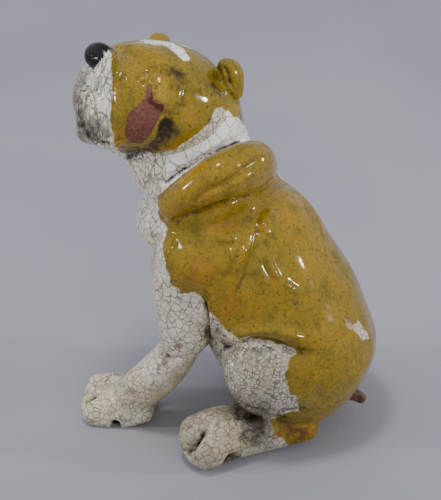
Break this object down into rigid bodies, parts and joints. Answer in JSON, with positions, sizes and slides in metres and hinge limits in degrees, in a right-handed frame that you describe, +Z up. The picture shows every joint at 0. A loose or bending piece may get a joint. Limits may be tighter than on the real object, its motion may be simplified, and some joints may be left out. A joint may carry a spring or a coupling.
{
  "type": "raku pottery dog figurine",
  "caption": "Sitting bulldog puppy in hand-built raku pottery, ochre and white crackle glaze, head turned up over its shoulder; a free-standing ornament.",
  "frame": {"origin": "on the floor, under the middle of the dog's bounding box", "axes": "+Z up, the dog's body faces -Y, its left side is +X"},
  "size_m": [0.1152, 0.143, 0.2084],
  "materials": {
    "ochre_glaze": "glossy ochre raku glaze with fine dark crackle",
    "white_crackle": "glossy white raku glaze with smoked black crackle",
    "nose_glaze": "glossy black glaze",
    "eye_glaze": "glossy dark amber glaze",
    "tail_clay": "smoked brown clay with thin glaze"
  },
  "bodies": {
    "root": {"torso": "ochre_glaze", "neck": "white_crackle", "neck_roll": "ochre_glaze", "tail": "tail_clay", "head": "ochre_glaze", "nose": "nose_glaze", "lower_jaw": "white_crackle", "left_flew": "white_crackle", "left_ear": "ochre_glaze", "left_eye": "eye_glaze", "left_front_paw": "white_crackle", "left_foreleg": "white_crackle", "left_hind_foot": "white_crackle", "left_thigh": "white_crackle", "right_flew": "white_crackle", "right_ear": "ochre_glaze", "right_eye": "eye_glaze", "right_front_paw": "white_crackle", "right_foreleg": "white_crackle", "right_hind_foot": "white_crackle", "right_thigh": "white_crackle"}
  },
  "joints": []
}
